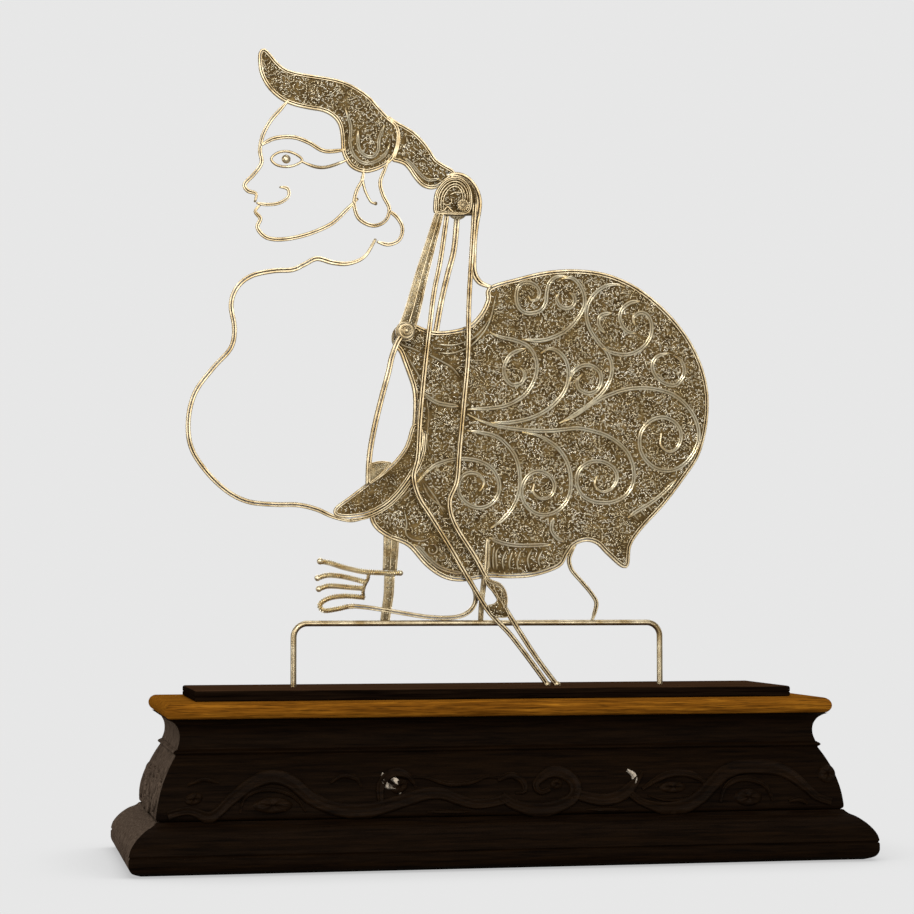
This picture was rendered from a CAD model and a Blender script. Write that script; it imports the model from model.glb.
"""Flat filigree figure on a bent-wire stand and a carved plinth: fine work and finishes round the
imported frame.

Drawings are in millimetres, as [x, z] points on the figure's plane, and become metres when a mesh is made.
"""
import math
import random

import bmesh
import bpy
from mathutils import Matrix, Vector, noise


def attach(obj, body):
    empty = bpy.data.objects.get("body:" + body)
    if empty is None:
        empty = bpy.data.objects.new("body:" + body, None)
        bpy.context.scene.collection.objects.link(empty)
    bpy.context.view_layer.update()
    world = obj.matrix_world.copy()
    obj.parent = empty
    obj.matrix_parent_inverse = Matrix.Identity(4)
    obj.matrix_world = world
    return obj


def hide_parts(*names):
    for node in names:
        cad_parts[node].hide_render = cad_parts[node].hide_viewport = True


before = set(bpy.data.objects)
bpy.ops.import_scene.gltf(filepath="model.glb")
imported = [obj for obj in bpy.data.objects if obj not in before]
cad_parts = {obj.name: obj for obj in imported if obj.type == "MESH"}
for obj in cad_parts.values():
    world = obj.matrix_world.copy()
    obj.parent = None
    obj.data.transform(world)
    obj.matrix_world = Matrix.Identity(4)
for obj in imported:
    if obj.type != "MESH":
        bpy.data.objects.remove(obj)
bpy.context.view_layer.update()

MM = 0.001
FIGURE = "plinth_and_figure"
NEAR_UPPER = "near_upper_arm"
NEAR_LOWER = "near_lower_arm"
FAR_UPPER = "far_upper_arm"
FAR_LOWER = "far_lower_arm"

# Plinth
HALF_W = 135.0
HALF_D = 51.0
FOOT_TOP = 17.6
FRIEZE_TOP = 40.0
COVE_TOP = 52.5
BOARD_TOP = 58.2
PLATE_TOP = 62.1
BOARD_INSET = 13.0
CORE_INSET = 26.0
PLATE_HALF = (110.3, 25.2)

# Layers of the figure, as distances from its middle plane
SHEET = 0.7
FRAME = 1.1
SCROLL_TOP = 1.4
FLAP_FRONT = -2.8
ROD_BACK, ROD_FRONT = -2.9, -4.7
KNUCKLE_FRONT = -6.1
ARM_BACK, ARM_FRONT = -5.1, -6.9
FOREARM_BACK, FOREARM_FRONT = -7.2, -9.0
FAR_ARM = (2.0, 3.8)
FAR_FOREARM = (4.1, 5.9)

SHOULDER = (-10.0, 240.8)
NEAR_ELBOW = (-31.6, 193.2)
FAR_ELBOW = (-19.5, 187.0)
RIVET_R = 1.0
PAPER = 0.80


# ---- curves -------------------------------------------------------------------------------

def blend(a, b, c, d, t):
    return tuple(0.5 * (2 * q + (r - p) * t + (2 * p - 5 * q + 4 * r - s) * t * t
                        + (3 * q - p - 3 * r + s) * t ** 3) for p, q, r, s in zip(a, b, c, d))


def curve(points, steps=6):
    """A smooth open curve through the points."""
    last = len(points) - 1
    at = lambda i: points[min(max(i, 0), last)]
    return [blend(at(i - 1), at(i), at(i + 1), at(i + 2), k / steps)
            for i in range(last) for k in range(steps)] + [tuple(points[last])]


def loop(points, steps=5):
    """A smooth closed curve through the points."""
    n = len(points)
    at = lambda i: points[i % n]
    return [blend(at(i - 1), at(i), at(i + 1), at(i + 2), k / steps)
            for i in range(n) for k in range(steps)]


def spiral(centre, a0, r0, a1, r1, steps=16):
    out = []
    for k in range(steps + 1):
        a = math.radians(a0 + (a1 - a0) * k / steps)
        r = r0 + (r1 - r0) * k / steps
        out.append((centre[0] + r * math.cos(a), centre[1] + r * math.sin(a)))
    return out


def length_of(path):
    return sum(math.dist(a, b) for a, b in zip(path, path[1:]))


def even(path, step, closed=False):
    """The path again, with points about one step apart."""
    path = list(path) + ([path[0]] if closed else [])
    total = length_of(path)
    count = max(2, round(total / step))
    out, done, k = [], 0.0, 0
    for i in range(count + (0 if closed else 1)):
        want = total * i / count
        while k < len(path) - 2 and done + math.dist(path[k], path[k + 1]) < want:
            done += math.dist(path[k], path[k + 1])
            k += 1
        span = math.dist(path[k], path[k + 1]) or 1.0
        t = min(1.0, max(0.0, (want - done) / span))
        out.append(tuple(p + (q - p) * t for p, q in zip(path[k], path[k + 1])))
    return out


def lefts(path, closed=False):
    """The unit normal on the left of the path at each point."""
    n = len(path)
    out = []
    for i in range(n):
        a = path[(i - 1) % n] if closed or i else path[0]
        b = path[(i + 1) % n] if closed or i < n - 1 else path[-1]
        dx, dz = b[0] - a[0], b[1] - a[1]
        size = math.hypot(dx, dz) or 1.0
        out.append((-dz / size, dx / size))
    return out


def offset(path, distance, closed=False):
    """The path moved to its left. The distance is a number, or a function of 0..1 along the path."""
    n = len(path)
    out = []
    for i, (p, left) in enumerate(zip(path, lefts(path, closed))):
        d = distance(i / (n - 1)) if callable(distance) else distance
        out.append((p[0] + d * left[0], p[1] + d * left[1]))
    return out


def smooth(t):
    t = min(1.0, max(0.0, t))
    return t * t * (3 - 2 * t)


def ends(t, share=0.12, least=0.3):
    """1 along the middle of a path, easing to least at both ends."""
    return least + (1 - least) * smooth(min(t, 1 - t) / share)


# ---- the figure's drawing -----------------------------------------------------------------

rod_front_path = curve([(-14.8, 242), (-17.8, 221), (-20.2, 209), (-21.9, 196), (-23.8, 180),
    (-25.6, 161), (-26.4, 147), (-28, 139.5), (-26, 132), (-21.5, 125), (-13.5, 112.3), (-9, 104.6),
    (-4.2, 96.8), (0.2, 90), (4, 85.8), (8, 81.8), (12, 76.9), (17.8, 69.3), (21.5, 64.3), (22.9, 62.1),
    (23.7, 61)])
rod_rear_path = curve([(-4.8, 242), (-5.6, 229), (-7, 205), (-7.4, 185), (-9, 167), (-10.6, 150),
    (-11.6, 138), (-14.4, 130.5), (-12.4, 122), (-4.6, 109.7), (-0.7, 102.6), (4, 95.2), (8.6, 87.8),
    (13.2, 80.6), (18.4, 72.8), (23.8, 65.6), (26.6, 62.1), (27.4, 61)])
knuckle = loop([(-1.5, 102.4), (1.4, 101.4), (4.5, 100.2), (6.6, 97.6), (7.4, 94.2), (7.2, 91.2),
    (8, 88.8), (7, 87.4), (3.1, 87.4), (0.8, 88.9), (-0.2, 91.8), (2.2, 92.6), (3.3, 94.2), (1.9, 96.5),
    (-0.8, 99.6)])
belly_path = curve([(-42, 228), (-46, 221.5), (-52, 218.8), (-58, 219), (-63.8, 220.3), (-68.5, 218),
    (-73, 215.9), (-80, 215.3), (-88, 213.3), (-93.3, 209), (-95.6, 202.5), (-94.3, 193.5), (-95.7, 186.3),
    (-102, 179), (-108.5, 170), (-111, 160), (-110, 150), (-104.7, 141.4), (-97, 134), (-89, 130),
    (-79, 129), (-70.5, 128.9), (-63.5, 127.3), (-57.5, 124.7), (-51, 123.2), (-46.3, 124.2), (-42.4, 126.3)])
profile_path = curve([(-74.6, 279.2), (-77.6, 275.6), (-81.4, 271), (-84.2, 265.5), (-85.2, 260),
    (-84.6, 255.4), (-87.4, 251), (-90.8, 247.2), (-89.6, 244.8), (-86.6, 243.8), (-87, 241)])
jaw_path = curve([(-85.2, 239.6), (-86.9, 237.2), (-84.9, 234.6), (-86, 231.2), (-82.5, 227.6), (-76, 227.2),
    (-67, 229.4), (-58.5, 233.4), (-53, 238.6), (-48.6, 243)])
brow_path = curve([(-85.2, 261.6), (-80, 264.6), (-73, 265.4), (-67, 263.6), (-61, 260.6), (-53, 261.4)])
mouth_path = curve([(-86.2, 240.3), (-82.5, 239.9), (-78, 240.6), (-74.6, 243), (-74.8, 246), (-77.6, 246.6)])
eye_path = loop([(-81, 257), (-78.8, 259.2), (-75.4, 260), (-71.8, 259), (-69.4, 256.9), (-72.2, 254.9),
    (-75.8, 254.2), (-79.2, 254.9)])
temple_path = curve([(-70, 256.5), (-64.5, 254.6), (-59.5, 254.8), (-51.5, 258)])
eye_centre = (-75.4, 257.1)
ear_path = curve([(-36.6, 259), (-38.4, 254.4), (-40.1, 249.6), (-39, 244.8), (-36.6, 239.8), (-38.1, 235.2),
    (-42.7, 233.2), (-48, 235.6), (-49.9, 240.8), (-49, 246), (-46.8, 250.4), (-46.4, 255)])
ear_curl_path = curve([(-46.9, 251.2), (-45.8, 246.4), (-43.6, 242.2), (-41.8, 241.6)])
earring_path = curve([(-37, 239.2), (-33.6, 236.6), (-31.6, 232.6), (-32.8, 228.2), (-36.8, 226.3),
    (-41, 227.2)])
crest_path = loop([(-83.8, 297.4), (-81.6, 295.4), (-79.2, 292.6), (-75.5, 290), (-69.5, 288.7),
    (-62.5, 287.9), (-56.5, 287), (-50.7, 285), (-45, 281.5), (-41, 277.3), (-37.5, 273.8), (-34, 270.8),
    (-33.4, 266.5), (-34.2, 262), (-35.8, 258.8), (-38.5, 256.3), (-42, 254.5), (-46, 253.6), (-50, 254.8),
    (-52.4, 257.3), (-54, 261), (-54.3, 266), (-55.2, 270.8), (-57.6, 274), (-61.5, 276), (-66.5, 276.7),
    (-72, 277.7), (-76.5, 279.4), (-80.3, 282.2), (-83, 285.5), (-84.8, 289.5), (-85.3, 294),
    (-85.1, 296.4)], 3)
nape_path = loop([(-37.6, 274.3), (-33.8, 271.9), (-30.4, 270.2), (-27.2, 268.2), (-24, 265.1),
    (-21.6, 262), (-19.2, 258.5), (-15.5, 256.2), (-12.4, 254.4), (-13.2, 252.6), (-16.2, 250.4),
    (-18.6, 248.8), (-21, 248.3), (-24, 249.3), (-26.7, 252.1), (-28.7, 255), (-30.8, 257.1), (-33.5, 258),
    (-35.2, 258.6), (-34, 262), (-33.2, 266.5), (-34.2, 270.8)], 3)
crest_scrolls = [
    curve([(-53.5, 276.6), (-51.4, 270), (-51.6, 263.5), (-50, 259), (-46.4, 256.4), (-42, 257.2),
        (-38.4, 260), (-36.6, 264)]),
    curve([(-48.6, 268.5), (-48.4, 262.5), (-46, 259.4), (-43, 259), (-41, 261.5), (-40.6, 266),
        (-38.6, 271)])]
nape_scrolls = [curve([(-31.4, 259), (-28.6, 257), (-25.8, 253.9), (-23.4, 251.6), (-20.8, 250.8),
    (-17.6, 251.6)])]
back_path = curve([(-14.6, 252.9), (-11, 253.5), (-7, 252.1), (-3.9, 248.6), (-2.4, 244.2), (-2.6, 239.8),
    (-3.4, 235.6), (-4.1, 229.8), (-4.4, 223.9), (-4.3, 217), (-2, 213), (2.4, 211.2)])
robe_path = loop([(2, 210.8), (12.5, 214.2), (24, 217.1), (36.5, 218), (49, 216.2), (61.5, 210.3),
    (73.5, 199.8), (81.7, 188), (86, 175), (86, 162), (82.8, 149.5), (76.5, 140), (69, 130.5), (60, 121),
    (55.6, 114.5), (54.2, 106.6), (47.8, 111.2), (43.4, 115.4), (38.8, 116.6), (34, 115), (31, 111.3),
    (28, 106.8), (18.5, 103.5), (9.5, 102.8), (0.6, 103), (-8.5, 101.6), (-15.6, 102.7), (-22.3, 107.2),
    (-29, 114.4), (-37, 117.8), (-42, 122), (-42.6, 127.4), (-37, 134.6), (-31, 143.5), (-27.8, 153),
    (-26.6, 164), (-26.9, 172), (-28.6, 177.6), (-30.4, 182.4), (-32, 186.4), (-34.3, 189.2),
    (-34.8, 192), (-33.4, 194.8), (-30.6, 196.2), (-27, 195.8), (-23, 194.2), (-18.6, 193.4),
    (-13.4, 193.8), (-8.4, 195), (-4.6, 197.2), (-0.8, 201.8), (1.2, 206.4)])
# The robe's scrolls: stems that end in spirals
robe_scrolls = [
    curve([(32, 216), (27.6, 215.8), (24.8, 213.6), (23.6, 209.6), (23.2, 205.8), (21.4, 203), (18, 201.7),
        (14.8, 202), (12.4, 204.4), (11.8, 208), (12.6, 211.4), (14.8, 213.2), (18.4, 212.8),
        (20.6, 210.4), (20.2, 207.4), (17.8, 206.4), (16.4, 208.2)]),
    curve([(14, 191.7), (20.6, 191.4), (26, 192.8), (31.2, 195.6), (35.4, 199.8), (38, 204.4),
        (38.2, 208.6), (36.4, 212.8), (33.4, 215.4), (29.4, 215)]),
    spiral((31.6, 207.4), 160, 4.4, 430, 2.4, 14),
    curve([(28.6, 160.4), (36.4, 165), (43, 170), (47.2, 175), (49, 181), (47.4, 187), (43.4, 191.6),
        (40, 197), (39, 202.6), (41, 208), (45.4, 212.2), (50.4, 213.4), (54, 212.6)]),
    curve([(45, 189), (50.6, 187), (56, 187), (60.8, 189.4), (64, 193.6), (64.6, 198), (63.2, 201.8),
        (60, 202.8), (57.4, 200.8), (58, 198)]),
    curve([(58.4, 194.8), (54.4, 196), (52.1, 200.4), (53.2, 204.2), (56.2, 206.6), (60, 207.2)]),
    curve([(46, 194.8), (43.8, 198), (44.6, 201.4), (48.6, 202.4)]),
    curve([(71.4, 187.6), (67, 186.4), (64.8, 183), (66, 179), (69.4, 176.2), (73.6, 175.4),
        (76.8, 178.4), (77.4, 182), (76, 185), (73.8, 186.4)]),
    curve([(-7, 165), (2, 165.6), (8, 166.8), (14, 170), (17.8, 174.6), (19.6, 180), (19, 185.4),
        (16, 189.4), (10.8, 191.4), (5, 192.6), (1.6, 194.2)]),
    curve([(15.4, 188.4), (10, 186.2), (7.2, 181.8), (7.4, 177.4), (10, 174.6), (13.6, 175.2), (15, 178.6),
        (13.2, 181)]),
    curve([(2, 160.2), (10, 160.4), (18.6, 162.6), (25.6, 166.8), (30.4, 172.4), (32, 178.6), (31, 184),
        (28, 187.4), (24.4, 188.4), (21.2, 186.6)]),
    curve([(32.4, 176.4), (34, 180), (37.2, 182.2), (41, 182.2), (44.2, 179.8), (44.6, 176), (42.8, 172.8),
        (39.4, 171.7), (36, 173.4), (35.4, 176.8), (37.4, 179)]),
    curve([(-7, 163.2), (-1.5, 160.6), (5, 158.8), (15, 157.6), (25, 157.4), (35, 158.5), (41, 157.6),
        (46.4, 156), (51.4, 153), (55.2, 149), (57.2, 143.6), (57, 138), (54.4, 133.6), (50, 131),
        (45, 130.4), (40, 131.4), (36.6, 134), (35, 138), (36, 142.6), (39.6, 145.6), (45, 146),
        (49.4, 143.6), (50.8, 139.6), (48.6, 135.8), (44.8, 134.6), (42, 137.2), (43, 140.6)]),
    curve([(28.4, 160.4), (34, 162.8), (42, 168.4), (50, 172.2), (58, 174), (66, 173.8), (73, 171.8),
        (79, 167), (82.4, 161), (83, 155), (80.8, 149.4), (76.8, 145), (71.8, 142.9), (66.4, 143.5),
        (62, 146.8), (59.8, 151.6), (60.2, 157), (63.6, 161.4), (68.6, 163.1), (73.4, 161.4),
        (76, 157.4), (75.2, 152.6), (71.6, 150), (68, 152.4), (68.2, 157)]),
    curve([(14, 156.6), (20, 155.6), (24.4, 153.4), (28.6, 150), (31.6, 145), (32.8, 139), (32, 132.8),
        (29, 128.4), (24.6, 126), (20, 126), (16, 128.6), (13.9, 132.6), (14.2, 137), (16.8, 140.8),
        (20.6, 142.1), (24.6, 140.4), (26.5, 136.8), (25, 133), (21.2, 131.8), (18.2, 134.2),
        (18.6, 137.4)]),
    curve([(-7, 157), (-2, 156.4), (4, 155), (8.4, 151.6), (11.6, 147), (13, 141), (12.8, 135),
        (10.6, 129), (6.6, 124), (1.8, 120.6)]),
    curve([(-26.6, 137.4), (-23, 141), (-18, 144.6), (-10, 146.4), (-3, 145.8), (2, 143.2), (4.8, 139),
        (4.9, 134), (2.4, 130), (-2, 128.2), (-6.6, 129.4), (-10, 133), (-10.6, 137.4), (-7.4, 141),
        (-3, 140.8), (-0.6, 137.6), (-2.4, 134.4)]),
    curve([(-23.6, 170.6), (-18.6, 167.4), (-10.4, 166)]),
    curve([(26, 124.6), (25.2, 120.6), (27, 117.4), (30, 115.6)]),
    curve([(1.4, 117), (6.2, 115.2), (12.8, 114.2), (25, 114.5)]),
    curve([(-27.4, 114.4), (-25.2, 113), (-22, 109.6), (-18, 106.3), (-13.2, 104.4), (-8.4, 103.6)]),
    curve([(74, 139.4), (69, 134.4), (64, 130.6), (58.6, 127.4), (55, 124.8)])]

flap_path = loop([(-57, 126.4), (-56, 128.2), (-51.6, 131.4), (-44.6, 136.8), (-36.4, 143), (-30.4, 150.4),
    (-27.6, 158.6), (-24.6, 156.4), (-25.6, 148), (-29.8, 139.4), (-36.6, 131), (-44.4, 126.4), (-51, 125),
    (-55.8, 125.2)], 3)
# Finer lines laid on the robe's front and back: neck, cuff, sash and hem
robe_lines = [curve(points, 4) for points in (
    [(4, 208.6), (2.5, 201.6), (0.1, 195.4), (-4.7, 189.8), (-9.4, 187), (-14.2, 185.8), (-19.5, 186.3)],
    [(1.3, 199.3), (-1.4, 195.1), (-4.7, 192), (-8.6, 190), (-13.6, 188.9), (-19.5, 189.4)],
    [(-33, 189.6), (-31.1, 188.4), (-28.1, 187.5), (-24.7, 186)],
    [(-23.7, 186.4), (-19.7, 184.3), (-16.3, 182.6), (-12.6, 180.4), (-9.8, 177)],
    [(-30.6, 186), (-28.2, 181.8), (-25.6, 177.4), (-24, 173.4)],
    [(-36.2, 130.1), (-31.7, 132.2), (-28.2, 135.2), (-24.7, 138.7), (-21.7, 142.2)],
    [(-31, 127.2), (-30, 122.3), (-30.4, 118.8), (-28.6, 116.6), (-25.6, 115.7), (-22.6, 116.2),
        (-20.1, 118.2)],
    [(-24.2, 137.4), (-21.9, 132.7), (-18.6, 129.8), (-14.6, 126.8)],
    [(-23.2, 137.2), (-19.1, 131.8), (-15.6, 125.8)],
    [(-21.6, 148), (-22.4, 154), (-21.8, 162), (-22.4, 168)],
    spiral((-20.2, 112.6), 120, 1.9, -200, 1.5))]
fringe = [curve(points, 4) for points in (
    [(1.6, 114.6), (1.3, 110), (1.5, 105)], [(3.2, 113.6), (2.7, 109), (3, 104.8)],
    [(5.1, 113.6), (3.9, 111), (4.3, 104.8)], [(7.9, 112.4), (6.4, 108.7), (6.9, 104.8)],
    [(10.2, 111.9), (9, 108), (9.4, 105)], [(13.4, 112.2), (12, 108), (12.6, 104.6)],
    [(17.6, 112.6), (16, 109), (16.8, 105.4)], [(21.9, 112.6), (20.2, 109), (21, 106)])]
shin_path = curve([(-35.6, 117.6), (-35.8, 112), (-36.2, 104.9)])
ankle_path = curve([(-36.3, 102.9), (-36.6, 96), (-37.3, 91), (-38, 85.9)])
rear_shin_path = curve([(0.7, 116.4), (0.5, 110), (0.2, 106), (-0.6, 100), (-1.4, 93), (-1.8, 85.9)])
toe_paths = [curve(points) for points in (
    [(-62.2, 108.2), (-58.7, 107.6), (-53.6, 106), (-46.8, 104.5), (-39.8, 104), (-32.2, 103.9)],
    [(-63.2, 102), (-60, 103), (-56, 102.9), (-51.8, 102.2), (-45.6, 100.6)],
    [(-62.7, 98), (-60, 99), (-57, 99.1), (-52.3, 98.7), (-46, 98.2)])]
instep_path = curve([(-44.2, 104.2), (-44.4, 101.8), (-45.6, 99.4), (-46.2, 97), (-46, 95)])
sole_path = curve([(-46, 94.9), (-52.7, 95.4), (-58.6, 94.7), (-62.2, 92.4), (-60.8, 90.1), (-55.7, 90.7),
    (-51, 91.6), (-44.8, 91.2), (-36.8, 90), (-29.7, 88.8), (-21.7, 87.6), (-13.6, 87.3), (-8.2, 88.4),
    (-4.7, 91.2), (-3.6, 94.8), (-4.5, 98.6), (-6.6, 102.6)])
rear_leg_path = curve([(34.6, 114.4), (32.9, 111.4), (32.2, 108.6), (33.4, 104.9), (37.2, 100.6),
    (40.8, 96.4), (42.8, 92.9), (42.2, 89.4), (41, 86)])
cap_path = loop([(-20.7, 238), (-20.9, 241.3), (-20.4, 245.1), (-18.8, 248.1), (-16.4, 250.5),
    (-13.4, 251.6), (-10.4, 251.2), (-8.1, 249.4), (-6.6, 246.4), (-6.2, 242.9), (-6.6, 239.6),
    (-8.2, 237.7), (-11.6, 237.2), (-15.2, 237.2), (-18.6, 237.2)])
strand_path = curve([(-18.6, 238.2), (-21.4, 228.4), (-25.6, 213.8), (-29, 200.6), NEAR_ELBOW])
forearm_path = curve([NEAR_ELBOW, (-34.6, 189.6), (-37, 183.4), (-38.2, 178), (-40.8, 168.3), (-43, 159.4),
    (-44.6, 151.4), (-45.3, 146.4), (-45.6, 141.6), (-45.7, 136.4)])
hand_path = loop([(-45.6, 144), (-44.2, 144.5), (-41.5, 145.1), (-39.2, 145), (-37, 144.4), (-38.2, 142.3),
    (-39.8, 140.4), (-42.5, 138), (-44.5, 136.7), (-45.7, 136.8), (-45.8, 140)])
far_arm_path = curve([SHOULDER, (-11.3, 226), (-14, 215.3), (-16.6, 204), FAR_ELBOW])
far_forearm_path = curve([FAR_ELBOW, (-16.5, 176), (-11.5, 164), (-6.5, 153)])
far_hand_path = loop([(-9.4, 153.6), (-4.6, 154.6), (-2, 150.6), (-2.4, 145.6), (-5.6, 143.6),
    (-8.6, 146.2)])
shoulder_outline = [(-18.6, 238.3), (-18.6, 242.1), (-18.2, 245.7), (-16.9, 248.4), (-14.8, 250.6),
    (-12, 252), (-9, 252.2), (-6, 250.4), (-4.2, 247.6), (-3.7, 244), (-3.9, 240), (-4.3, 238.3)]


# ---- meshes -------------------------------------------------------------------------------

class Work:
    """Vertices, in millimetres, and faces of one piece, and the tint of each vertex."""

    def __init__(self):
        self.verts = []
        self.faces = []

    def rings(self, rings, close_ends=True, closed=False):
        """Joins rings of equally many points, and closes the ends with a fan."""
        first = len(self.verts)
        n = len(rings[0])
        for ring in rings:
            self.verts.extend(ring)
        count = len(rings)
        for i in range(count if closed else count - 1):
            a = first + i * n
            b = first + (i + 1) % count * n
            for k in range(n):
                m = (k + 1) % n
                self.faces.append((a + k, a + m, b + m, b + k))
        if close_ends and not closed:
            for ring, turn in ((0, False), (count - 1, True)):
                at = first + ring * n
                middle = len(self.verts)
                points = rings[ring]
                self.verts.append(tuple(sum(p[i] for p in points) / n for i in range(3)))
                for k in range(n):
                    m = (k + 1) % n
                    self.faces.append((middle, at + k, at + m) if turn else (middle, at + m, at + k))

    def tube(self, path, width, depth, y=0.0, sides=8, closed=False, square=1.0, shift=None, round_ends=True):
        """A wire of oval section along a path. width and depth are numbers or functions of 0..1.

        square below 1 makes the section squarer, and shift(t, s) moves the wire aside and in depth."""
        n = len(path)
        total = length_of(path)
        normals = lefts(path, closed)
        stations = [(i / (n - 1) if not closed else i / n, path[i], normals[i], 1.0, 0.0) for i in range(n)]
        if round_ends and not closed:
            for end, sign in ((0, -1), (n - 1, 1)):
                t, p, left, _, _ = stations[0] if end == 0 else stations[-1]
                extra = [(t, p, left, scale, sign * reach) for reach, scale in ((0.5, 0.84), (0.85, 0.5))]
                stations = extra[::-1] + stations if end == 0 else stations + extra
        rings = []
        for t, p, left, scale, reach in stations:
            w = (width(t) if callable(width) else width) / 2
            d = (depth(t) if callable(depth) else depth) / 2
            along = (left[1], -left[0])
            aside, deep = shift(t, t * total) if shift else (0.0, 0.0)
            cx = p[0] + aside * left[0] + along[0] * reach * w
            cz = p[1] + aside * left[1] + along[1] * reach * w
            ring = []
            for k in range(sides):
                a = 2 * math.pi * (k + 0.5) / sides
                c, s = math.cos(a), math.sin(a)
                c = math.copysign(abs(c) ** square, c) * w * scale
                s = math.copysign(abs(s) ** square, s) * d * scale
                ring.append((cx + c * left[0], y + deep + s, cz + c * left[1]))
            rings.append(ring)
        self.rings(rings, closed=closed)

    def pair(self, path, width, depth, y=0.0, closed=False, share=0.5, sides=8, gap=0.04, ease=False):
        """Two wires laid side by side, with a fine groove between them. share is the left wire's part."""
        left_w = width * share
        right_w = width - left_w
        scale = (lambda t: ends(t)) if ease else (lambda t: 1.0)
        for w, d in ((left_w, width / 2 - left_w / 2), (right_w, -width / 2 + right_w / 2)):
            self.tube(path, w - gap, depth, y, sides, closed, square=0.9,
                      shift=lambda t, s, d=d: (d * scale(t), 0.0))

    def twist(self, path, thickness, pitch=2.4, y=0.0, closed=False, depth=None, sides=6, strands=3):
        """Wires twisted round each other into a cord."""
        total = length_of(list(path) + ([path[0]] if closed else []))
        turns = max(1, round(total / pitch))
        depth = depth or thickness
        for strand in range(strands):
            start = 2 * math.pi * strand / strands
            self.tube(path, 0.52 * thickness, 0.52 * depth, y, sides, closed,
                      shift=lambda t, s, start=start: (
                          0.24 * thickness * math.cos(start + 2 * math.pi * turns * t),
                          0.24 * depth * math.sin(start + 2 * math.pi * turns * t)))

    def slab(self, outline, y0, y1, edge=0.15):
        """A plate of that outline, with its edges broken. The outline runs clockwise."""
        def at(d, y):
            return [(p[0], y, p[1]) for p in offset(outline, -d, True)]
        rings = [at(edge, y0), at(0, y0 + edge), at(0, y1 - edge), at(edge, y1)]
        first = len(self.verts)
        n = len(outline)
        for ring in rings:
            self.verts.extend(ring)
        for i in range(3):
            for k in range(n):
                m = (k + 1) % n
                a, b = first + i * n, first + (i + 1) * n
                self.faces.append((a + k, a + m, b + m, b + k))
        self.faces.append(tuple(first + k for k in reversed(range(n))))
        self.faces.append(tuple(first + 3 * n + k for k in range(n)))

    def bead(self, centre, r, y, flat=1.0, sides=12, rows=6):
        """A ball, or a domed head where flat is below 1."""
        rings = []
        for i in range(1, rows):
            a = math.pi * i / rows
            rings.append([(centre[0] + r * math.sin(a) * math.cos(2 * math.pi * k / sides),
                           y - r * flat * math.cos(a),
                           centre[1] + r * math.sin(a) * math.sin(2 * math.pi * k / sides))
                          for k in range(sides)])
        self.rings(rings)


def face_outwards(mesh):
    shape = bmesh.new()
    shape.from_mesh(mesh)
    bmesh.ops.recalc_face_normals(shape, faces=shape.faces)
    shape.to_mesh(mesh)
    shape.free()


def piece(name, work, finish, body, replaced=(), sharp=50):
    """Makes the mesh of one piece at its place, and tells the frame what it is."""
    mesh = bpy.data.meshes.new(name)
    mesh.from_pydata([Vector(v) * MM for v in work.verts], [], work.faces)
    face_outwards(mesh)
    return place(name, mesh, finish, body, replaced, sharp)


def place(name, mesh, finish, body, replaced=(), sharp=50):
    mesh.shade_smooth()
    mesh.set_sharp_from_angle(angle=math.radians(sharp))
    if finish is not None:
        mesh.materials.clear()
        mesh.materials.append(finish)
    obj = bpy.data.objects.new(name, mesh)
    bpy.context.scene.collection.objects.link(obj)
    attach(obj, body)
    if replaced:
        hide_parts(*replaced)
    return obj


# ---- finishes -----------------------------------------------------------------------------

class Finish:
    """A material and short ways to add nodes to it."""

    def __init__(self, name):
        self.material = bpy.data.materials.new(name)
        self.material.use_nodes = True
        self.nodes = self.material.node_tree.nodes
        self.links = self.material.node_tree.links
        self.shader = self.nodes["Principled BSDF"]
        self.where = self.nodes.new("ShaderNodeTexCoord").outputs["Object"]

    def set(self, **values):
        for key, value in values.items():
            self.shader.inputs[key.replace("_", " ")].default_value = value

    def join(self, a, b):
        self.links.new(a, b)

    def stretched(self, scale):
        node = self.nodes.new("ShaderNodeMapping")
        node.inputs["Scale"].default_value = scale
        self.join(self.where, node.inputs["Vector"])
        return node.outputs["Vector"]

    def noise(self, scale, detail=3.0, at=None, distortion=0.0, rough=0.5):
        node = self.nodes.new("ShaderNodeTexNoise")
        node.inputs["Scale"].default_value = scale
        node.inputs["Detail"].default_value = detail
        node.inputs["Roughness"].default_value = rough
        node.inputs["Distortion"].default_value = distortion
        self.join(at or self.where, node.inputs["Vector"])
        return node.outputs["Fac"]

    def ramp(self, value, *stops):
        """A colour ramp. Each stop is (place, (r, g, b)) or (place, grey)."""
        node = self.nodes.new("ShaderNodeValToRGB")
        ramp = node.color_ramp
        while len(ramp.elements) < len(stops):
            ramp.elements.new(0.5)
        for element, (at, colour) in zip(ramp.elements, stops):
            element.position = at
            grey = not isinstance(colour, tuple)
            element.color = (colour, colour, colour, 1) if grey else (*colour, 1)
        self.join(value, node.inputs["Fac"])
        return node.outputs["Color"]

    def mix(self, a, b, amount, how="MIX"):
        node = self.nodes.new("ShaderNodeMix")
        node.data_type = "RGBA"
        node.blend_type = how
        for socket, value in ((node.inputs[6], a), (node.inputs[7], b), (node.inputs[0], amount)):
            if isinstance(value, bpy.types.NodeSocket):
                self.join(value, socket)
            else:
                socket.default_value = value if not isinstance(value, tuple) else (*value, 1)
        return node.outputs[2]

    def attribute(self, name):
        node = self.nodes.new("ShaderNodeAttribute")
        node.attribute_name = name
        return node.outputs["Fac"]

    def bump(self, height, distance, strength=1.0, after=None):
        node = self.nodes.new("ShaderNodeBump")
        node.inputs["Distance"].default_value = distance
        node.inputs["Strength"].default_value = strength
        self.join(height, node.inputs["Height"])
        if after:
            self.join(after, node.inputs["Normal"])
        self.join(node.outputs["Normal"], self.shader.inputs["Normal"])
        return node.outputs["Normal"]

    def colour(self, value):
        self.join(value, self.shader.inputs["Base Color"])

    def roughness(self, value):
        self.join(value, self.shader.inputs["Roughness"])


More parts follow.
